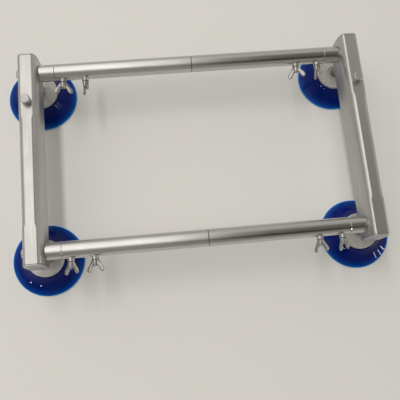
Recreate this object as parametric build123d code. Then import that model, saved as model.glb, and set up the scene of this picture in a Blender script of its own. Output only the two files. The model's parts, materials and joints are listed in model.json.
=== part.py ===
from build123d import *
import os
from math import cos, radians, sin

# Suction lifter: two grip bars joined by two telescopic cross tubes, with a suction cup under each corner.
# Millimetres. +X runs along the cross tubes, +Y to the rear, +Z up. The cups stand on the plane Z = 0.

# Overall layout
bar_gap = 440.0              # clear width between the two grip bars, closed
tube_spacing = 260.0         # front tube axis to rear tube axis
tube_height = 90.0           # tube axes above the surface that the cups stand on

# Grip bars: hollow extrusions with a flat top and long rounded shoulders
bar_width = 28.0
bar_above_axis = 25.0        # tube axis to bar top
bar_below_axis = 23.0        # tube axis to bar underside
bar_overhang = 18.0          # bar beyond each tube axis, end cap not counted
bar_wall = 2.0
shoulder_width = 7.0
shoulder_drop = 16.0
bar_foot_radius = 3.0
bar_inner_radius = 2.0       # rounds in the corners of the bar's inside
grip_rear = 58.0             # hand zone, from the bar's middle to its rear end
grip_front = 100.0           # and to its front end
grip_relief = 2.0            # extra easing of the shoulders in the hand zone
grip_ramp = 6.0              # run-out of that easing at each end of the zone

# Bar end caps
cap_plate = 3.0
cap_plug_gap = 1.0           # cap plug to the rod and washer beside it
cap_plug_wall = 2.0
cap_edge = 1.2
cap_seam = 0.8               # bevel where a cap meets its bar
cap_clearance = 0.1

# Cross tubes: two outer sleeves each, butted in the middle over a joiner
sleeve_diameter = 24.0
sleeve_wall = 1.5
collar_length = 22.0
tube_edge = 0.5              # chamfer at every tube end, seen as the seam line
joiner_wall = 2.0

# Inner rods, which slide in the sleeves
slide_clearance = 0.08
rod_wall = 2.5
rod_reach = 150.0            # rod inside the closed sleeve
rod_stop_gap = 8.0           # inner end of a closed rod to the joiner
rod_seat_gap = 0.2           # rod end to the bar's outer wall
rod_plug_length = 24.0

# Screws through the bar's outer wall into the rod plugs
rod_screw_diameter = 8.0
rod_screw_engagement = 16.0
rod_screw_head = 14.0
rod_screw_head_height = 4.4
rod_screw_socket = 5.0
rod_screw_head_round = 2.6
rod_screw_socket_depth = 2.2
screw_clearance = 0.2        # screw shank to its hole
rod_hole_clearance = 0.1     # rod to its hole in the bar's inner wall
drill_over = 1.0             # how far a drill runs past the wall it goes through
thread_edge = 0.5            # chamfer at a screw's end

# Wing screws and the threaded bosses that carry them, pointing to the front
wing_outer_place = 11.0      # outer screw, from the sleeve's outer end
wing_pitch = 32.0            # outer screw to inner screw
wing_screw_diameter = 6.0
wing_thread_clearance = 0.06
boss_diameter = 9.5
boss_stand = 4.0             # boss above the sleeve
boss_inner_gap = 0.3         # boss and screw tip to the sliding rod
wing_hub_gap = 0.8           # boss to wing hub
wing_hub_base = 9.5
wing_hub_top = 7.0
wing_hub_height = 8.0
wing_span = 25.0
wing_height = 17.0           # ears above the hub's base
wing_lobe_radius = 3.4
wing_thickness = 3.4
wing_draft = 7.0             # slope of the ears' flanks, degrees
wing_bend = 26.0             # radius of the ears' long edges
wing_root = 8.0              # width of the ears where they leave the hub's base
wing_waist = 7.2             # notch between the ears, above the hub's base
wing_lean = 38.0             # slope of the ear's edges where they meet the lobe, degrees
# how far each pair of ears is turned from level: left outer, left inner, right inner, right outer
wing_angles = {"rear": (-8.0, 70.0, 22.0, 84.0), "front": (38.0, 24.0, 58.0, 80.0)}

# Suction cups
cup_diameter = 106.0
cup_height = 24.0
cup_crown = 56.0             # flat crown that the hub plate sits on
cup_lip = 1.8                # lip thickness at the rim
cup_foot = 4.0               # flat sealing ring at the rim
cup_ceiling = 8.0            # rubber under the hub plate
cup_ceiling_flat = 36.0
cup_bulge = 1.6              # outward swell of the wall between crown and lip

# Hub plates, stems and cup bolts
hub_diameter = 54.0
hub_thickness = 5.0
hub_edge = 1.0
hub_rim_width = 2.6
hub_rim_rise = 0.8           # rim above the plate's face
hub_seat_diameter = 20.0     # round recess that the stem stands in
hub_seat_depth = 2.2
stem_diameter = 13.0
stem_edge = 1.0
cup_bolt_diameter = 8.0
cup_bolt_head = 28.0
cup_bolt_head_height = 3.5
cup_bolt_edge = 1.2
cup_bolt_proud = 1.5         # bolt end above its nut
washer_diameter = 17.0
washer_thickness = 1.6
cup_nut_flats = 13.0
cup_nut_height = 6.0

# Round-headed screw on top of each bar
top_screw_place = 78.0       # from the bar's middle towards the rear
top_screw_diameter = 6.0
top_screw_head = 13.0
top_screw_head_height = 10.0
top_screw_head_round = 1.6
top_nut_flats = 10.0
top_nut_height = 5.0
top_screw_proud = 2.0

# Worked-out sizes
half_gap = bar_gap / 2
bar_centre = half_gap + bar_width / 2
bar_half_length = tube_spacing / 2 + bar_overhang
bar_top = tube_height + bar_above_axis
bar_foot = tube_height - bar_below_axis
sleeve_radius = sleeve_diameter / 2
sleeve_bore = sleeve_radius - sleeve_wall
rod_radius = sleeve_bore - slide_clearance
rod_bore = rod_radius - rod_wall
sleeve_end = half_gap - collar_length
joiner_half = sleeve_end - rod_reach - rod_stop_gap
bar_outer_seat = half_gap + bar_width - bar_wall
wing_places = (sleeve_end - wing_outer_place, sleeve_end - wing_outer_place - wing_pitch)
boss_top = sleeve_radius + boss_stand
boss_foot = rod_radius + boss_inner_gap
cup_radius = cup_diameter / 2
hub_top = cup_height + hub_thickness
hub_face = hub_top - hub_rim_rise
stem_seat = hub_face - hub_seat_depth
cup_ceiling_height = cup_height - cup_ceiling
nut_seat = bar_foot + bar_wall
cap_plug_depth = bar_overhang - max(rod_radius, washer_diameter / 2) - cap_plug_gap
cup_bolt_end = nut_seat + washer_thickness + cup_nut_height + cup_bolt_proud

sides = {"left": -1, "right": 1}
ends = {"front": -1, "rear": 1}
parts = {}


def turned(points):
    """Solid of revolution about Z from a closed outline of (radius, height) points."""
    with BuildPart() as solid:
        with BuildSketch(Plane.XZ):
            with BuildLine():
                Polyline(*points, close=True)
            make_face()
        revolve(axis=Axis.Z)
    return solid.part


def tube(radius, bore, start, stop, edge=0.0):
    """Hollow round tube along X between two places, with its outer ends chamfered."""
    body = Solid.make_cylinder(radius, stop - start, Plane(origin=(start, 0, 0), z_dir=(1, 0, 0)))
    if edge:
        body = chamfer(body.edges().filter_by(GeomType.CIRCLE), edge)
    if bore:
        body = body - Solid.make_cylinder(bore, stop - start, Plane(origin=(start, 0, 0), z_dir=(1, 0, 0)))
    return body


def rod_along(direction, radius, length, origin=(0, 0, 0)):
    """Plain round bar from a point along a direction."""
    return Solid.make_cylinder(radius, length, Plane(origin=origin, z_dir=direction))


def hex_bar(flats, height, base):
    """Hexagon of a given width across flats, with its flats facing X, standing on a height."""
    with BuildPart() as solid:
        with BuildSketch(Plane.XY.offset(base)):
            RegularPolygon(flats / 2, 6, major_radius=False, rotation=30)
        extrude(amount=height)
    return solid.part


def bar_section(width, foot, top, round_width, round_drop, foot_radius):
    """Section of the bar in X and Z: flat top, elliptical shoulders, straight sides, small foot rounds."""
    half = width / 2
    shoulder = top - round_drop
    with BuildSketch(Plane.XZ) as section:
        with BuildLine():
            Line((0, foot), (half - foot_radius, foot))
            RadiusArc((half - foot_radius, foot), (half, foot + foot_radius), -foot_radius)
            Line((half, foot + foot_radius), (half, shoulder))
            EllipticalCenterArc((half - round_width, shoulder), round_width, round_drop, 0, arc_size=90)
            Line((half - round_width, top), (0, top))
            Line((0, top), (0, foot))
        make_face()
        mirror(about=Plane.YZ)
    return section.sketch


def along_bar(section, start, stop):
    """Section carried along Y between two places."""
    return Pos(0, stop, 0) * extrude(section, amount=stop - start)


def ramp_along_bar(first, second, start, stop):
    """Shape along Y that passes from one section to another between two places."""
    return loft([Pos(0, start, 0) * first.face(), Pos(0, stop, 0) * second.face()], ruled=True)


def bar_shell():
    """Bar with its cavity, centred on X = 0, before it is drilled."""
    outer = bar_section(bar_width, bar_foot, bar_top, shoulder_width, shoulder_drop, bar_foot_radius)
    eased = bar_section(bar_width, bar_foot, bar_top, shoulder_width + grip_relief,
                        shoulder_drop + grip_relief, bar_foot_radius)
    body = along_bar(outer, -bar_half_length, -grip_front)
    body = body + ramp_along_bar(outer, eased, -grip_front, grip_ramp - grip_front)
    body = body + along_bar(eased, grip_ramp - grip_front, grip_rear - grip_ramp)
    body = body + ramp_along_bar(eased, outer, grip_rear - grip_ramp, grip_rear)
    body = body + along_bar(outer, grip_rear, bar_half_length)
    return body - along_bar(bar_cavity(0), -bar_half_length, bar_half_length)


def bar_cavity(clearance):
    """Section of the bar's inside, which follows the hand zone, drawn in by a clearance."""
    inset = bar_wall + clearance
    return bar_section(bar_width - 2 * inset, bar_foot + inset, bar_top - inset,
                       shoulder_width + grip_relief - bar_wall, shoulder_drop + grip_relief - bar_wall,
                       bar_inner_radius)


def bar(side):
    """Drilled grip bar for one side."""
    body = Pos(side * bar_centre, 0, 0) * bar_shell()
    for end in ends.values():
        corner = (side * bar_centre, end * tube_spacing / 2, tube_height)
        across = bar_width / 2 + drill_over
        body = body - rod_along((-side, 0, 0), rod_radius + rod_hole_clearance, across, corner)
        body = body - rod_along((side, 0, 0), rod_screw_diameter / 2 + screw_clearance, across, corner)
        body = body - rod_along((0, 0, -1), cup_bolt_diameter / 2 + screw_clearance,
                                bar_below_axis + drill_over, corner)
    top_hole = (side * bar_centre, top_screw_place, tube_height)
    return body - rod_along((0, 0, 1), top_screw_diameter / 2 + screw_clearance,
                            bar_above_axis + drill_over, top_hole)


def end_cap(side, end):
    """Plate over the open end of a bar, with a hollow plug inside it."""
    outline = bar_section(bar_width, bar_foot, bar_top, shoulder_width, shoulder_drop, bar_foot_radius)
    plate = along_bar(outline, 0, cap_plate)
    plate = chamfer(plate.faces().sort_by(Axis.Y)[-1].edges(), cap_edge)
    plate = chamfer(plate.faces().sort_by(Axis.Y)[0].edges(), cap_seam)
    plug = along_bar(bar_cavity(cap_clearance), -cap_plug_depth, 0)
    plug = plug - along_bar(bar_cavity(cap_clearance + cap_plug_wall), -cap_plug_depth, 0)
    cap = plate + plug
    if end < 0:
        cap = cap.mirror(Plane.XZ)
    return Pos(side * bar_centre, end * bar_half_length, 0) * cap


def on_tube(end, shape):
    """Shape drawn about the X axis, moved to the front or rear tube."""
    return Pos(0, end * tube_spacing / 2, tube_height) * shape


def mirrored(side, shape):
    """Shape drawn for the right side, or its mirror image for the left."""
    return shape if side > 0 else shape.mirror(Plane.YZ)


def sleeve(side, end):
    """Outer sleeve from the middle seam to the collar, with holes for the screw bosses."""
    body = tube(sleeve_radius, sleeve_bore, 0, sleeve_end, tube_edge)
    for place in wing_places:
        body = body - rod_along((0, -1, 0), boss_diameter / 2, boss_top, (place, 0, 0))
    return on_tube(end, mirrored(side, body))


def screw_bosses(side, end):
    """Pair of threaded bosses let into the front of a sleeve."""
    group = []
    for place in wing_places:
        boss = rod_along((0, -1, 0), boss_diameter / 2, boss_top - boss_foot, (place, -boss_foot, 0))
        bore = wing_screw_diameter / 2 + wing_thread_clearance
        boss = boss - rod_along((0, -1, 0), bore, boss_top, (place, 0, 0))
        group.append(on_tube(end, mirrored(side, boss)))
    return Compound(children=group)


def wing_ear():
    """One ear in X and Z, bending out from the hub to a round lobe, with sloping flanks as cast."""
    lobe_x = wing_span / 2 - wing_lobe_radius
    lobe_z = wing_height - wing_lobe_radius
    lean = radians(wing_lean)
    reach_x = wing_lobe_radius * cos(lean)
    reach_z = wing_lobe_radius * sin(lean)
    with BuildSketch(Plane.XZ) as ear:
        with Locations((lobe_x, lobe_z)):
            Circle(wing_lobe_radius)
        with BuildLine():
            Line((0, 0), (wing_root / 2, 0))
            RadiusArc((wing_root / 2, 0), (lobe_x + reach_x, lobe_z - reach_z), -wing_bend)
            Line((lobe_x + reach_x, lobe_z - reach_z), (lobe_x - reach_x, lobe_z + reach_z))
            RadiusArc((lobe_x - reach_x, lobe_z + reach_z), (0, wing_waist), wing_bend)
            Line((0, wing_waist), (0, 0))
        make_face()
    return extrude(ear.sketch, amount=wing_thickness / 2, both=True, taper=wing_draft)


def wing_screw(angle):
    """Wing screw along +Z, drawn from the tube axis: shank, hub and two ears turned by an angle."""
    hub_foot = boss_top + wing_hub_gap
    shank = rod_along((0, 0, 1), wing_screw_diameter / 2, hub_foot - boss_foot, (0, 0, boss_foot))
    tip = shank.edges().filter_by(GeomType.CIRCLE).sort_by(Axis.Z)[0]
    shank = chamfer(tip, thread_edge)
    hub = Solid.make_cone(wing_hub_base / 2, wing_hub_top / 2, wing_hub_height, Plane.XY)
    ear = wing_ear()
    ears = ear + ear.mirror(Plane.YZ)
    head = Pos(0, 0, hub_foot) * Rot(0, 0, angle) * (ears + hub)
    return shank + head


def placed_wing_screw(end, place, angle):
    """Wing screw moved to its place on a tube, pointing to the front."""
    front = Plane(origin=(place, end * tube_spacing / 2, tube_height), x_dir=(1, 0, 0), z_dir=(0, -1, 0))
    return front * wing_screw(angle)


def rod(side, end):
    """Inner rod from the bar's outer wall through the collar into the sleeve."""
    return on_tube(end, mirrored(side, tube(rod_radius, rod_bore, sleeve_end - rod_reach,
                                            bar_outer_seat - rod_seat_gap)))


def rod_plugs(side):
    """Threaded plugs in the outer ends of both rods of one bar."""
    hole = rod_screw_diameter / 2 + screw_clearance
    body = tube(rod_bore, hole, bar_outer_seat - rod_plug_length, bar_outer_seat)
    return Compound(children=[on_tube(end, mirrored(side, body)) for end in ends.values()])


def rod_screws(side):
    """Round-headed screws through the bar's outer wall into the rod plugs."""
    outside = half_gap + bar_width
    shank = rod_along((-1, 0, 0), rod_screw_diameter / 2, bar_wall + rod_screw_engagement, (outside, 0, 0))
    head = rod_along((1, 0, 0), rod_screw_head / 2, rod_screw_head_height, (outside, 0, 0))
    crown = head.edges().filter_by(GeomType.CIRCLE).sort_by(Axis.X)[-1]
    head = fillet(crown, rod_screw_head_round)
    socket = Rot(0, 90, 0) * hex_bar(rod_screw_socket, rod_screw_socket_depth, 0)
    head = head - Pos(outside + rod_screw_head_height - rod_screw_socket_depth, 0, 0) * socket
    screw = shank + head
    return Compound(children=[on_tube(end, mirrored(side, screw)) for end in ends.values()])


def cup_corner(side, end, shape):
    """Shape drawn about the Z axis, moved under one corner."""
    return Pos(side * bar_centre, end * tube_spacing / 2, 0) * shape


def suction_cup():
    """Bell-shaped cup with a thick crown, a thin lip and a flat sealing ring."""
    hole = cup_bolt_diameter / 2
    crown = cup_crown / 2
    with BuildPart() as cup:
        with BuildSketch(Plane.XZ):
            with BuildLine():
                Line((hole, cup_ceiling_height), (hole, cup_height))
                Line((hole, cup_height), (crown, cup_height))
                middle = ((crown + cup_radius) / 2 + cup_bulge, (cup_height + cup_lip) / 2 + cup_bulge)
                ThreePointArc((crown, cup_height), middle, (cup_radius, cup_lip))
                Line((cup_radius, cup_lip), (cup_radius, 0))
                Line((cup_radius, 0), (cup_radius - cup_foot, 0))
                inner = ((cup_ceiling_flat / 2 + cup_radius - cup_foot) / 2 + cup_bulge,
                         cup_ceiling_height / 2 + cup_bulge)
                ThreePointArc((cup_radius - cup_foot, 0), inner, (cup_ceiling_flat / 2, cup_ceiling_height))
                Line((cup_ceiling_flat / 2, cup_ceiling_height), (hole, cup_ceiling_height))
            make_face()
        revolve(axis=Axis.Z)
    return cup.part


def hub_plate():
    """Round plate over the cup's crown, with a raised rim and a recess that the stem stands in."""
    hole = cup_bolt_diameter / 2 + screw_clearance
    rim = hub_diameter / 2
    inside = rim - hub_rim_width
    seat = hub_seat_diameter / 2
    return turned([(hole, cup_height), (rim, cup_height), (rim, hub_top - hub_edge),
                   (rim - hub_edge, hub_top), (inside, hub_top), (inside - hub_rim_rise, hub_face),
                   (seat + hub_edge, hub_face), (seat, hub_face - hub_edge), (seat, stem_seat),
                   (hole, stem_seat)])


def stem():
    """Spacer tube between the hub plate and the bar."""
    hole = cup_bolt_diameter / 2 + screw_clearance
    wall = stem_diameter / 2
    return turned([(hole, stem_seat), (wall - stem_edge, stem_seat), (wall, stem_seat + stem_edge),
                   (wall, bar_foot - stem_edge), (wall - stem_edge, bar_foot), (hole, bar_foot)])


def cup_bolt():
    """Bolt from under the cup's ceiling up through plate, stem and bar, with a broad flat head."""
    shank = cup_bolt_diameter / 2
    head = cup_bolt_head / 2
    low = cup_ceiling_height - cup_bolt_head_height
    return turned([(0, low), (head - cup_bolt_edge, low), (head, low + cup_bolt_edge),
                   (head, cup_ceiling_height), (shank, cup_ceiling_height),
                   (shank, cup_bolt_end - thread_edge), (shank - thread_edge, cup_bolt_end),
                   (0, cup_bolt_end)])


def top_screw():
    """Screw with a plain round head standing on the bar."""
    wall = top_screw_head / 2
    shank_end = bar_top - bar_wall - top_nut_height - top_screw_proud
    head = rod_along((0, 0, 1), wall, top_screw_head_height, (0, 0, bar_top))
    head = fillet(head.edges().filter_by(GeomType.CIRCLE).sort_by(Axis.Z)[-1], top_screw_head_round)
    return head + rod_along((0, 0, 1), top_screw_diameter / 2, bar_top - shank_end, (0, 0, shank_end))


def bar_nuts(side):
    """Washers and nuts inside one bar: two for the cup bolts and one for the top screw."""
    bolt_hole = rod_along((0, 0, 1), cup_bolt_diameter / 2 + screw_clearance, bar_top)
    washer = rod_along((0, 0, 1), washer_diameter / 2, washer_thickness, (0, 0, nut_seat)) - bolt_hole
    nut = hex_bar(cup_nut_flats, cup_nut_height, nut_seat + washer_thickness) - bolt_hole
    top_nut = hex_bar(top_nut_flats, top_nut_height, bar_top - bar_wall - top_nut_height)
    top_nut = top_nut - rod_along((0, 0, 1), top_screw_diameter / 2 + screw_clearance, bar_top)
    group = [cup_corner(side, end, piece) for end in ends.values() for piece in (washer, nut)]
    group.append(Pos(side * bar_centre, top_screw_place, 0) * top_nut)
    return Compound(children=group)


# Grip bars and what is fixed to each
for side_name, side in sides.items():
    parts[f"{side_name}_bar"] = bar(side)
    parts[f"{side_name}_rod_plugs"] = rod_plugs(side)
    parts[f"{side_name}_rod_screws"] = rod_screws(side)
    parts[f"{side_name}_bar_nuts"] = bar_nuts(side)
    parts[f"{side_name}_top_screw"] = Pos(side * bar_centre, top_screw_place, 0) * top_screw()
    for end_name, end in ends.items():
        corner = f"{side_name}_{end_name}"
        parts[f"{corner}_end_cap"] = end_cap(side, end)
        parts[f"{corner}_collar"] = on_tube(end, mirrored(side, tube(sleeve_radius, rod_radius, sleeve_end,
                                                                     half_gap, tube_edge)))
        parts[f"{corner}_rod"] = rod(side, end)
        parts[f"{corner}_sleeve"] = sleeve(side, end)
        parts[f"{corner}_screw_bosses"] = screw_bosses(side, end)
        parts[f"{corner}_cup"] = cup_corner(side, end, suction_cup())
        parts[f"{corner}_hub_plate"] = cup_corner(side, end, hub_plate())
        parts[f"{corner}_stem"] = cup_corner(side, end, stem())
        parts[f"{corner}_cup_bolt"] = cup_corner(side, end, cup_bolt())

# Joiners and wing screws of the two cross tubes
for end_name, end in ends.items():
    joiner = tube(sleeve_bore, sleeve_bore - joiner_wall, -joiner_half, joiner_half)
    parts[f"{end_name}_joiner"] = on_tube(end, joiner)
    outer, inner = wing_places
    places = {"left_outer": -outer, "left_inner": -inner, "right_inner": inner, "right_outer": outer}
    for (name, place), angle in zip(places.items(), wing_angles[end_name]):
        parts[f"{end_name}_{name}_wing_screw"] = placed_wing_screw(end, place, angle)

os.makedirs("parts", exist_ok=True)
for name, shape in parts.items():
    export_step(shape, f"parts/{name}.step")
print(len(parts), "nodes")
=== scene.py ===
import json
import math
import bmesh
import bpy
import numpy as np
from mathutils import Matrix, Vector


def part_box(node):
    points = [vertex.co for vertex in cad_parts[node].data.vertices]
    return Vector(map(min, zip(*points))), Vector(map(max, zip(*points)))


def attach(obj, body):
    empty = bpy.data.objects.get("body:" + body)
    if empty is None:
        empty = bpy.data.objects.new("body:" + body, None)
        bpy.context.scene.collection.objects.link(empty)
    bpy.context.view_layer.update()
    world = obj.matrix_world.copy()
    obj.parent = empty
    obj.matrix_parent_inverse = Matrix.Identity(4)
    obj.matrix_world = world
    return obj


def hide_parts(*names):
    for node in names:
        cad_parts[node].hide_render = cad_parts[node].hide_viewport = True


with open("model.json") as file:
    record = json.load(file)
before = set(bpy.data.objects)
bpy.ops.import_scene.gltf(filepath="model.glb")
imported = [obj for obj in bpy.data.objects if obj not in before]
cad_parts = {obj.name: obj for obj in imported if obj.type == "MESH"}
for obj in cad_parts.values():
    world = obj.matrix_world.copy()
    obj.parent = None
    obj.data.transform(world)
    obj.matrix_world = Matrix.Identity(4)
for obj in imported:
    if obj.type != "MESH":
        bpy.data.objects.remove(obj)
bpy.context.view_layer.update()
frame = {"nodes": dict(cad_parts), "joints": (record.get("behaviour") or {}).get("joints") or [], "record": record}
nodes = frame["nodes"]
sides = ("left", "right")
ends = ("front", "rear")
fullTurn = 2 * math.pi

meshLook = dict(mergeGap=1e-6, sharpAngle=38, cornerSteps=6)  # here and below, metres and degrees
shareName = "radiusShare"  # attribute on round pieces: distance from the centre line over the outer radius


# corners of every quad on a grid whose columns wrap round; closeRows joins the last row to the first
def gridQuads(rows, columns, closeRows):
    row = np.arange(rows if closeRows else rows - 1)[:, None]
    column = np.arange(columns)[None, :]
    below = (row + 1) % rows
    beside = (column + 1) % columns
    corners = (row * columns + column, row * columns + beside,
               below * columns + beside, below * columns + column)
    return np.stack(np.broadcast_arrays(*corners), axis=-1).reshape(-1, 4)


# one mesh from several grids; repeated points at poles and seams are merged, and faces turned outwards
def makePiece(name, grids, body, standsFor, finish, closeRows=False):
    points, quads, start = [], [], 0
    for grid in grids:
        rows, columns = grid.shape[:2]
        points.append(grid.reshape(-1, 3))
        quads.append(gridQuads(rows, columns, closeRows) + start)
        start += rows * columns
    mesh = bpy.data.meshes.new(name)
    mesh.from_pydata(np.concatenate(points).tolist(), [], np.concatenate(quads).tolist())
    shape = bmesh.new()
    shape.from_mesh(mesh)
    bmesh.ops.remove_doubles(shape, verts=shape.verts, dist=meshLook["mergeGap"])
    bmesh.ops.recalc_face_normals(shape, faces=shape.faces)
    shape.to_mesh(mesh)
    shape.free()
    mesh.shade_smooth()
    mesh.set_sharp_from_angle(angle=math.radians(meshLook["sharpAngle"]))
    mesh.materials.append(finish)
    piece = bpy.data.objects.new(name, mesh)
    bpy.context.scene.collection.objects.link(piece)
    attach(piece, body)
    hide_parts(*standsFor)
    return piece


# share of the way from a centre line to a radius, kept on every vertex for the finish to read
def keepRadius(piece, centre, radius):
    places = np.zeros(len(piece.data.vertices) * 3, np.float32)
    piece.data.vertices.foreach_get("co", places)
    places = places.reshape(-1, 3)
    share = np.hypot(places[:, 0] - centre[0], places[:, 1] - centre[1]) / radius
    kept = piece.data.attributes.new(shareName, "FLOAT", "POINT")
    kept.data.foreach_set("value", share.astype(np.float32))


# closed outline with each corner eased: a quadratic curve between the points one cut away from the corner
def easedOutline(corners, cuts):
    corner = np.array(corners, float)
    cut = np.array(cuts, float)[:, None]
    before = np.roll(corner, 1, axis=0) - corner
    after = np.roll(corner, -1, axis=0) - corner
    start = corner + cut * before / np.linalg.norm(before, axis=1, keepdims=True)
    stop = corner + cut * after / np.linalg.norm(after, axis=1, keepdims=True)
    t = np.linspace(0, 1, meshLook["cornerSteps"])[None, :, None]
    curve = (1 - t) ** 2 * start[:, None] + 2 * t * (1 - t) * corner[:, None] + t ** 2 * stop[:, None]
    return curve.reshape(-1, 2)


# outline of (radius, height) points carried round the Z axis: (r cos a, r sin a, h)
def spun(outline, count):
    turn = np.linspace(0, fullTurn, count, endpoint=False)[None, :]
    radius = outline[:, 0, None]
    height = np.broadcast_to(outline[:, 1, None], (len(outline), count))
    return np.stack((radius * np.cos(turn), radius * np.sin(turn), height), axis=-1)


# arc that swells out from the straight line between two points: line + swell * 4 t (1 - t) across it
def swollenLine(start, stop, swell, count):
    start, stop = np.array(start, float), np.array(stop, float)
    t = np.linspace(0, 1, count)[:, None]
    along = stop - start
    across = np.array((-along[1], along[0])) / np.linalg.norm(along)
    return start + t * along + swell * 4 * t * (1 - t) * across


# finishes: node trees on the object's own coordinates or on a kept attribute
noiseSpan = (0.3, 0.7)  # the part of a noise's range that its values mostly lie in
evenly = (1, 1, 1)  # the same grain along every axis
mixSockets = dict(first=6, second=7, result=2)  # colour sockets of a mix node


def startFinish(name):
    material = bpy.data.materials.new(name)
    material.use_nodes = True
    return material, material.node_tree.nodes["Principled BSDF"]


def ownPlace(tree):
    return tree.nodes.new("ShaderNodeTexCoord").outputs["Object"]


def shareOfRadius(tree):
    node = tree.nodes.new("ShaderNodeAttribute")
    node.attribute_name = shareName
    return node.outputs["Fac"]


def noiseAt(tree, place, stretch, scale, detail=3.0, roughness=0.55):
    mapping = tree.nodes.new("ShaderNodeMapping")
    mapping.inputs["Scale"].default_value = stretch
    noise = tree.nodes.new("ShaderNodeTexNoise")
    noise.inputs["Scale"].default_value = scale
    noise.inputs["Detail"].default_value = detail
    noise.inputs["Roughness"].default_value = roughness
    tree.links.new(place, mapping.inputs["Vector"])
    tree.links.new(mapping.outputs["Vector"], noise.inputs["Vector"])
    return noise.outputs["Fac"]


# value eased from one span of numbers to another
def spread(tree, value, span, toLow=0, toHigh=1):
    ranged = tree.nodes.new("ShaderNodeMapRange")
    ranged.interpolation_type = "SMOOTHSTEP"
    limits = (("From Min", span[0]), ("From Max", span[1]), ("To Min", toLow), ("To Max", toHigh))
    for key, number in limits:
        ranged.inputs[key].default_value = number
    tree.links.new(value, ranged.inputs["Value"])
    return ranged.outputs["Result"]


# arithmetic on one or two values, each a number or another node's output
def joined(tree, operation, first, second=0.0):
    node = tree.nodes.new("ShaderNodeMath")
    node.operation = operation
    for socket, value in zip(node.inputs, (first, second)):
        if isinstance(value, (int, float)):
            socket.default_value = value
        else:
            tree.links.new(value, socket)
    return node.outputs["Value"]


# first colour going over to the second by an amount
def tinted(tree, amount, first, second):
    node = tree.nodes.new("ShaderNodeMix")
    node.data_type = "RGBA"
    tree.links.new(amount, node.inputs["Factor"])
    for key, colour in (("first", first), ("second", second)):
        socket = node.inputs[mixSockets[key]]
        if isinstance(colour, tuple):
            socket.default_value = (*colour, 1)
        else:
            tree.links.new(colour, socket)
    return node.outputs[mixSockets["result"]]


def raised(tree, shader, height, depth, strength=1.0):
    node = tree.nodes.new("ShaderNodeBump")
    node.inputs["Strength"].default_value = strength
    node.inputs["Distance"].default_value = depth
    tree.links.new(height, node.inputs["Height"])
    tree.links.new(node.outputs["Normal"], shader.inputs["Normal"])


# drawn or polished metals: hair lines along one axis and larger smudges, both in the roughness and the colour
linedLook = {
    "bar_aluminium": dict(name="satinBar", pale=(0.51, 0.50, 0.48), dark=(0.43, 0.42, 0.40),
                          stretch=(1, 0.02, 1), lineScale=900, gloss=(0.27, 0.37), smudge=20,
                          lineDepth=0.00002),
    "cap_aluminium": dict(name="satinCap", pale=(0.54, 0.53, 0.51), dark=(0.45, 0.44, 0.42),
                          stretch=evenly, lineScale=500, gloss=(0.34, 0.5), smudge=40,
                          lineDepth=0.00003),
    "tube_steel": dict(name="polishedTube", pale=(0.58, 0.57, 0.55), dark=(0.51, 0.50, 0.48),
                       stretch=(0.02, 1, 1), lineScale=900, gloss=(0.15, 0.23), smudge=25,
                       # the tube's seam entry paints shade of the sleeve groove into the colour near X = 0
                       lineDepth=0.00001, seam=dict(reach=(0.0003, 0.0009), seamShade=(0.31, 0.295, 0.28))),
    "rod_steel": dict(name="groundRod", pale=(0.6, 0.6, 0.59), dark=(0.52, 0.52, 0.51),
                      stretch=(1, 0.05, 0.05), lineScale=900, gloss=(0.16, 0.26), smudge=30,
                      lineDepth=0.00001),
    "fastener_steel": dict(name="platedSteel", pale=(0.48, 0.475, 0.46), dark=(0.36, 0.355, 0.345),
                           stretch=evenly, lineScale=400, gloss=(0.3, 0.46), smudge=60,
                           lineDepth=0.00003),
    "stud_steel": dict(name="turnedStud", pale=(0.50, 0.485, 0.465), dark=(0.40, 0.39, 0.375),
                       stretch=(1, 1, 0.1), lineScale=500, gloss=(0.32, 0.46), smudge=60,
                       lineDepth=0.00003),
    "wing_zinc": dict(name="castWing", pale=(0.44, 0.43, 0.41), dark=(0.29, 0.28, 0.27),
                      stretch=evenly, lineScale=350, gloss=(0.24, 0.4), smudge=90,
                      lineDepth=0.00005),
}
lineGrain = dict(detail=4.0, roughness=0.6, lineShare=0.6, smudgeShare=0.4)


# seam: painted shade of the groove between the two sleeves of a tube, which darkens the metal near X = 0
def linedMetal(name, pale, dark, stretch, lineScale, gloss, smudge, lineDepth, seam=None):
    material, shader = startFinish(name)
    tree = material.node_tree
    place = ownPlace(tree)
    lines = noiseAt(tree, place, stretch, lineScale, lineGrain["detail"], lineGrain["roughness"])
    smudges = noiseAt(tree, place, evenly, smudge)
    mixed = joined(tree, "ADD", joined(tree, "MULTIPLY", lines, lineGrain["lineShare"]),
                   joined(tree, "MULTIPLY", smudges, lineGrain["smudgeShare"]))
    colour = tinted(tree, spread(tree, mixed, noiseSpan), dark, pale)
    # painted shade: the colour darkens towards the groove at X = 0 where the sleeves meet
    if seam:
        split = tree.nodes.new("ShaderNodeSeparateXYZ")
        tree.links.new(place, split.inputs["Vector"])
        away = joined(tree, "ABSOLUTE", split.outputs["X"])
        colour = tinted(tree, spread(tree, away, seam["reach"], 1, 0), colour, seam["seamShade"])
    shader.inputs["Metallic"].default_value = 1.0
    tree.links.new(colour, shader.inputs["Base Color"])
    tree.links.new(spread(tree, mixed, noiseSpan, gloss[1], gloss[0]), shader.inputs["Roughness"])
    raised(tree, shader, lines, lineDepth)
    return material


# turned metal: rings about the piece's own centre line, a sine of the radius share and a little grain
ringLook = dict(name="turnedHub", pale=(0.48, 0.465, 0.44), dark=(0.41, 0.395, 0.375), ringCount=30,
                ringHeight=0.5, ringDepth=0.00002, gloss=(0.46, 0.6), metallic=0.3,
                grainScale=160, grainDetail=4.0, grainShift=4.0)


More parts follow.
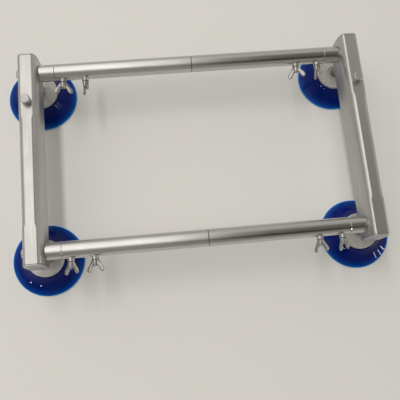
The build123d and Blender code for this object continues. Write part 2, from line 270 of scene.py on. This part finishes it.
def ringedMetal(look):
    material, shader = startFinish(look["name"])
    tree = material.node_tree
    grain = noiseAt(tree, ownPlace(tree), evenly, look["grainScale"], look["grainDetail"])
    turns = joined(tree, "MULTIPLY", shareOfRadius(tree), look["ringCount"] * fullTurn)
    wobble = joined(tree, "ADD", turns, joined(tree, "MULTIPLY", grain, look["grainShift"]))
    rings = joined(tree, "MULTIPLY", joined(tree, "SINE", wobble), look["ringHeight"])
    gloss = look["gloss"]
    shader.inputs["Metallic"].default_value = look["metallic"]
    colour = tinted(tree, spread(tree, grain, noiseSpan), look["dark"], look["pale"])
    tree.links.new(colour, shader.inputs["Base Color"])
    tree.links.new(spread(tree, grain, noiseSpan, gloss[1], gloss[0]), shader.inputs["Roughness"])
    raised(tree, shader, joined(tree, "ADD", rings, grain), look["ringDepth"])
    return material


# clear blue vinyl: navy where it is thick, brighter towards the thin lip, with a glossy skin
vinylLook = dict(navy=(0.0005, 0.008, 0.105), blue=(0.0005, 0.038, 0.225), bright=(0.001, 0.1, 0.36),
                 lip=(0.08, 0.34, 0.7), bluePart=(0.82, 1.05), brightPart=(0.97, 1.06),
                 lipPart=(0.984, 0.999), cloudScale=45, unevenness=0.08, gloss=(0.02, 0.045),
                 refraction=1.5, shine=0.12, skinDepth=0.0003, skinStrength=0.5)


def blueVinyl(look):
    material, shader = startFinish("blueVinyl")
    tree = material.node_tree
    share = shareOfRadius(tree)
    cloud = noiseAt(tree, ownPlace(tree), evenly, look["cloudScale"])
    uneven = joined(tree, "ADD", share, joined(tree, "MULTIPLY", cloud, look["unevenness"]))
    deep = tinted(tree, spread(tree, uneven, look["bluePart"]), look["navy"], look["blue"])
    rim = tinted(tree, spread(tree, uneven, look["brightPart"]), deep, look["bright"])
    edge = tinted(tree, spread(tree, share, look["lipPart"]), rim, look["lip"])
    tree.links.new(edge, shader.inputs["Base Color"])
    tree.links.new(spread(tree, cloud, noiseSpan, *look["gloss"]), shader.inputs["Roughness"])
    shader.inputs["IOR"].default_value = look["refraction"]
    shader.inputs["Specular IOR Level"].default_value = look["shine"]
    raised(tree, shader, cloud, look["skinDepth"], look["skinStrength"])
    return material


finishes = {slotName: linedMetal(**look) for slotName, look in linedLook.items()}
finishes["hub_metal"] = ringedMetal(ringLook)
finishes["cup_blue"] = blueVinyl(vinylLook)
for part in frame["record"]["subparts"]:
    node = nodes[part["node"]]
    for slot in node.material_slots:
        slot.material = finishes[part["material_slot"]]
print("finishes:", len(finishes))


# suction cups: one closed outline of crown, bell, lip, sealing ring and hollow, carried round the bolt's axis
cupLook = dict(hole=0.0040, crownEdge=0.0286, lipThickness=0.0018, lipRound=0.0008, footInset=0.0004,
               edgeSwell=0.0002, ringWidth=0.004, ceiling=0.016, ceilingEdge=0.018, bellSwell=0.0023,
               hollowSwell=0.0023, bellRows=40, edgeRows=6, columns=160)


def cupOutline(radius, height, look):
    crown = (look["crownEdge"], height)
    lip = (radius - look["lipRound"], look["lipThickness"] + look["lipRound"])
    bell = swollenLine(crown, lip, -look["bellSwell"], look["bellRows"])
    lipTop = (radius, look["lipThickness"])
    lipFoot = (radius - look["footInset"], 0)
    edge = swollenLine(lipTop, lipFoot, -look["edgeSwell"], look["edgeRows"])
    innerRing = (radius - look["ringWidth"], 0)
    ceilingEdge = (look["ceilingEdge"], look["ceiling"])
    hollow = swollenLine(innerRing, ceilingEdge, -look["hollowSwell"], look["bellRows"])
    hub = [(look["hole"], look["ceiling"]), (look["hole"], height)]
    return np.concatenate((bell, edge, hollow, hub))


for side in sides:
    for end in ends:
        node = f"{side}_{end}_cup"
        low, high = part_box(node)
        centre = (low + high) / 2
        radius = (high.x - low.x) / 2
        grid = spun(cupOutline(radius, high.z, cupLook), cupLook["columns"])
        cup = makePiece(f"{side}_{end}_vinylCup", [grid + np.array((centre.x, centre.y, 0))],
                        f"{side}_end", [node], finishes["cup_blue"], closeRows=True)
        keepRadius(cup, centre, radius)
print("cups done")


# hub plates: a closed outline with a raised rim, a flat face and a recess that the stem stands in
hubLook = dict(hole=0.0042, rimWidth=0.0026, rimRise=0.0008, seat=0.010, seatDepth=0.0022, ease=0.0009,
               easeShares=(1 / 4, 1 / 2, 1, 1 / 3, 1 / 3, 1, 1 / 2, 1 / 4), columns=128)


def hubOutline(radius, foot, top, look):
    face = top - look["rimRise"]
    seatFloor = face - look["seatDepth"]
    rim = radius - look["rimWidth"]
    corners = [(look["hole"], foot), (radius, foot), (radius, top), (rim, top), (rim - look["rimRise"], face),
               (look["seat"], face), (look["seat"], seatFloor), (look["hole"], seatFloor)]
    return easedOutline(corners, look["ease"] * np.array(look["easeShares"]))


for side in sides:
    for end in ends:
        node = f"{side}_{end}_hub_plate"
        low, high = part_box(node)
        centre = (low + high) / 2
        radius = (high.x - low.x) / 2
        grid = spun(hubOutline(radius, low.z, high.z, hubLook), hubLook["columns"])
        hub = makePiece(f"{side}_{end}_hubDisc", [grid + np.array((centre.x, centre.y, 0))],
                        f"{side}_end", [node], finishes["hub_metal"], closeRows=True)
        keepRadius(hub, centre, radius)
print("hub plates done")


# wing screws, drawn from the tube's axis along the screw: threaded shank, tapered hub and two swelling ears
wingLook = dict(shankFoot=0.01072, hubFoot=0.0168, shankRadius=0.003, shankTip=0.8, pitch=0.001,
                threadDepth=0.0005, shankRows=64, shankColumns=40,
                hubBase=0.00475, hubTop=0.0035, hubHeight=0.008, hubEase=0.0008, hubTopEase=0.0012,
                hubCrown=0.0004, hubColumns=48,
                earRoot=(0.0005, 0.002), earBend=(0.0072, 0.0054), earTip=(0.0112, 0.0164), earHalf=0.0034,
                rootHalf=0.0046, earThick=0.0016, rootThick=0.0022, roundShare=0.78, rootFade=0.06,
                bluntness=6, waistDepth=0.22, waistPlace=0.5, waistReach=0.18, boxy=0.75,
                earRows=48, earColumns=32,
                turns={"rear": (-8, 70, 22, 84), "front": (38, 24, 58, 80)})
wingPlaces = ("left_outer", "left_inner", "right_inner", "right_outer")


# thread: radius falls by its depth along a triangle wave of height / pitch - angle / full turn
def threadedShank(look):
    top = look["hubFoot"] + look["hubEase"]
    height = np.linspace(look["shankFoot"], top, look["shankRows"])[:, None]
    turn = np.linspace(0, fullTurn, look["shankColumns"], endpoint=False)[None, :]
    phase = (height / look["pitch"] - turn / fullTurn) % 1
    radius = look["shankRadius"] - look["threadDepth"] * np.abs(2 * phase - 1)
    radius[0] = radius[0] * look["shankTip"]
    body = np.stack((radius * np.cos(turn), radius * np.sin(turn), height + 0 * turn), axis=-1)
    onAxis = (0, 0, 1)
    return np.concatenate((body[:1] * onAxis, body, body[-1:] * onAxis))


# rounded box: sign(w) |w| to a power less than one, for w the cosine or sine of the way round
def boxyWave(wave, power):
    return np.sign(wave) * np.abs(wave) ** power


# ear: a quadratic path from hub to tip, with a rounded-box section that narrows at a waist, swells, and
# closes in a half circle across its width and more bluntly through its thickness
def wingEar(look, way):
    share = np.linspace(0, 1, look["earRows"])[:, None]
    root, bend, tip = (np.array(look[key], float) for key in ("earRoot", "earBend", "earTip"))
    path = (1 - share) ** 2 * root + 2 * share * (1 - share) * bend + share ** 2 * tip
    lead = 2 * (1 - share) * (bend - root) + 2 * share * (tip - bend)
    lead = lead / np.linalg.norm(lead, axis=1, keepdims=True)
    over = np.clip((share - look["roundShare"]) / (1 - look["roundShare"]), 0, 1)
    opening = np.sqrt(np.clip(share / look["rootFade"], 0, 1))
    closing = np.sqrt(np.clip(1 - over ** 2, 0, 1)) * opening
    half = (look["earHalf"] + (look["rootHalf"] - look["earHalf"]) * (1 - share) ** 2) * closing
    waist = 1 - look["waistDepth"] * np.exp(-((share - look["waistPlace"]) / look["waistReach"]) ** 2)
    thinning = np.sqrt(np.clip(1 - over ** look["bluntness"], 0, 1)) * opening
    thick = (look["earThick"] + (look["rootThick"] - look["earThick"]) * (1 - share) ** 2) * thinning
    turn = np.linspace(0, fullTurn, look["earColumns"], endpoint=False)[None, :]
    across = half * waist * boxyWave(np.cos(turn), look["boxy"])
    through = thick * boxyWave(np.sin(turn), look["boxy"])
    span = path[:, :1] - lead[:, 1:] * across
    reach = path[:, 1:] + lead[:, :1] * across + look["hubFoot"]
    return np.stack((way * span, through, reach), axis=-1)


# hub: a tapered outline with eased corners and a slight crown, carried round the screw's axis
def wingHub(look):
    foot = look["hubFoot"]
    top = foot + look["hubHeight"]
    corners = [(0, foot), (look["hubBase"], foot), (look["hubTop"], top), (0, top + look["hubCrown"])]
    cuts = [0, look["hubEase"], look["hubTopEase"], 0]
    return spun(easedOutline(corners, cuts), look["hubColumns"])


# drawn axes to the frame: the screw points to the front, and its ears are turned about it
def onScrew(grid, centre, turn):
    spin = math.radians(turn)
    along = np.array((math.cos(spin), 0, math.sin(spin)))
    beside = np.array((-math.sin(spin), 0, math.cos(spin)))
    out = np.array((0, -1, 0))
    return np.array(centre) + grid[..., :1] * along + grid[..., 1:2] * beside + grid[..., 2:] * out


screwPlaces = {joint["child"]: joint["pos_m"] for joint in frame["joints"] if joint["type"] == "hinge"}
screwShapes = [threadedShank(wingLook), wingHub(wingLook), wingEar(wingLook, 1), wingEar(wingLook, -1)]
for end in ends:
    for name, turn in zip(wingPlaces, wingLook["turns"][end]):
        node = f"{end}_{name}_wing_screw"
        grids = [onScrew(shape, screwPlaces[node], turn) for shape in screwShapes]
        makePiece(f"{end}_{name}_thumbScrew", grids, node, [node], finishes["wing_zinc"])
print("wing screws done")


# stage: a plain pale floor, the world, lamps and the camera at the photograph's viewpoint
floorLook = dict(size=60.0, colour=(0.61, 0.597, 0.57), shine=0.0)


def paleFloor(look):
    material, shader = startFinish("paleFloor")
    shader.inputs["Base Color"].default_value = (*look["colour"], 1)
    shader.inputs["Specular IOR Level"].default_value = look["shine"]
    return material


half = floorLook["size"] / 2
floorCorners = [(-half, -half, 0), (half, -half, 0), (half, half, 0), (-half, half, 0)]
floorMesh = bpy.data.meshes.new("floor")
floorMesh.from_pydata(floorCorners, [], [(0, 1, 2, 3)])
floorMesh.materials.append(paleFloor(floorLook))
floor = bpy.data.objects.new("floor", floorMesh)
bpy.context.scene.collection.objects.link(floor)

# world: a grey room whose ceiling is bright on the left and dim on the right, with a dim front and left; each
# patch is an amount times smoothsteps of the direction's share along one or more ways, from a rim to a heart
worldLook = dict(
    base=0.58, paleTint=(1.0, 0.985, 0.955), dimTint=(1.0, 0.925, 0.84), tintPart=(0.1, 0.75),
    patches={
        "brightCeiling": dict(amount=1.2, along=[((-1, 0, 0), -0.11, 0.02), ((0, 1, 0), -0.52, 0.0),
                                                 ((0, 0, 1), 0.05, 1.05)]),
        "dimCeiling": dict(amount=-0.44, along=[((1, 0, 0), 0.03, 0.16), ((0, -0.26, 0.966), 0.5, 0.98)]),
        "dimFront": dict(amount=-0.2, along=[((0, -1, 0), 0.3, 0.75)]),
        "dimLeft": dict(amount=-0.18, along=[((-0.85, -0.45, 0.35), 0.6, 0.9)]),
    })


def studioWorld(look):
    world = bpy.data.worlds.new("studio")
    world.use_nodes = True
    bpy.context.scene.world = world
    tree = world.node_tree
    way = tree.nodes.new("ShaderNodeTexCoord").outputs["Generated"]
    level = look["base"]
    for patch in look["patches"].values():
        share = patch["amount"]
        for direction, rim, heart in patch["along"]:
            dot = tree.nodes.new("ShaderNodeVectorMath")
            dot.operation = "DOT_PRODUCT"
            dot.inputs[1].default_value = Vector(direction).normalized()
            tree.links.new(way, dot.inputs[0])
            share = joined(tree, "MULTIPLY", spread(tree, dot.outputs["Value"], (rim, heart)), share)
        level = joined(tree, "ADD", share, level)
    back = tree.nodes["Background"]
    tone = tinted(tree, spread(tree, level, look["tintPart"]), look["dimTint"], look["paleTint"])
    tree.links.new(tone, back.inputs["Color"])
    tree.links.new(level, back.inputs["Strength"])


studioWorld(worldLook)

# lamps: a flood lights dull surfaces and isn't mirrored, a gleam is only mirrored; with no aim a lamp
# looks straight down
lampTone = (1.0, 0.985, 0.96)
windowAim = (0, 0, 0.02)
lampLook = {
    "keyStrip": dict(place=(-0.46, 0.2, 2.2), aim=None, size=(0.18, 1.7), power=20.5, kind="flood"),
    "windowNear": dict(place=(1.45, -0.98, 0.30), aim=windowAim, size=(0.05, 0.5), power=2.2, kind="gleam"),
    "windowMiddle": dict(place=(1.57, -0.78, 0.31), aim=windowAim, size=(0.03, 0.5), power=2.1, kind="gleam"),
    "windowFar": dict(place=(1.65, -0.56, 0.32), aim=windowAim, size=(0.03, 0.5), power=2.1, kind="gleam"),
    "lowLampNear": dict(place=(-1.48, -2.3, 0.36), aim=(0, 0, 0), size=(0.12, 0.12), power=3.5, kind="gleam"),
    "lowLampFar": dict(place=(-2.25, -1.6, 0.28), aim=(0, 0, 0), size=(0.12, 0.12), power=3.5, kind="gleam"),
}
for name, look in lampLook.items():
    lamp = bpy.data.lights.new(name, "AREA")
    lamp.shape = "RECTANGLE"
    lamp.size, lamp.size_y = look["size"]
    lamp.energy = look["power"]
    lamp.color = lampTone
    light = bpy.data.objects.new(name, lamp)
    light.location = look["place"]
    light.visible_diffuse = look["kind"] == "flood"
    light.visible_glossy = look["kind"] == "gleam"
    if look["aim"]:
        ray = Vector(look["aim"]) - Vector(look["place"])
        light.rotation_euler = ray.to_track_quat("-Z", "Y").to_euler()
    bpy.context.scene.collection.objects.link(light)

shot = dict(place=(-0.0607, -0.2463, 0.8504), aim=(-0.0063, -0.0761, 0.090), turn=5.47, lens=50.4, sensor=36)
camera = bpy.data.cameras.new("shot")
camera.sensor_width = shot["sensor"]
camera.lens = shot["lens"]
view = bpy.data.objects.new("shot", camera)
ahead = (Vector(shot["aim"]) - Vector(shot["place"])).normalized()
upward = Vector((math.sin(math.radians(shot["turn"])), math.cos(math.radians(shot["turn"])), 0))
across = ahead.cross(upward).normalized()
turned = Matrix((across, across.cross(ahead), -ahead)).transposed()
view.matrix_world = Matrix.Translation(shot["place"]) @ turned.to_4x4()
bpy.context.scene.collection.objects.link(view)
bpy.context.scene.camera = view
bpy.context.scene.view_settings.view_transform = "Standard"
print("stage done")
